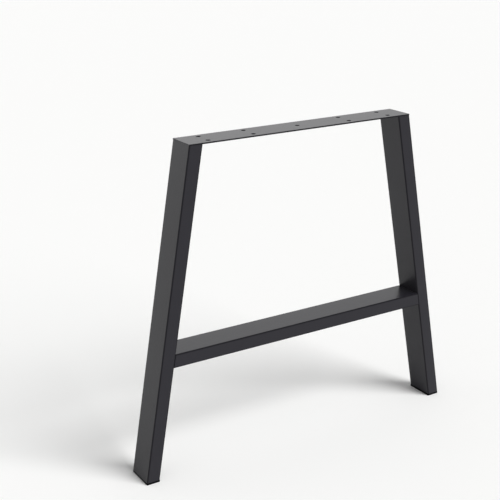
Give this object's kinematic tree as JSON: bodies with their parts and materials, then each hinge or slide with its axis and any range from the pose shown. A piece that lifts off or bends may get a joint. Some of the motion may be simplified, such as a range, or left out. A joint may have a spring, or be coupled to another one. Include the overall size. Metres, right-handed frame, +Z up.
{
  "type": "table leg",
  "caption": "A-shaped welded steel table leg: drilled flat top plate on leaning rectangular-tube uprights, joined by a cross bar, with plastic plugs in the feet.",
  "frame": {"origin": "middle of the footprint, at floor level under the feet", "axes": "+X along the frame from the left foot to the right foot, +Y from the front face to the back, +Z up"},
  "size_m": [0.808, 0.07, 0.72],
  "materials": {
    "powder_coat": "black satin powder coat",
    "foot_plastic": "black moulded polyethylene, matt"
  },
  "bodies": {
    "root": {"top_plate": "powder_coat", "left_upright": "powder_coat", "right_upright": "powder_coat", "cross_bar": "powder_coat", "bar_welds": "powder_coat", "plate_welds": "powder_coat", "left_foot_plug": "foot_plastic", "right_foot_plug": "foot_plastic"}
  },
  "joints": []
}
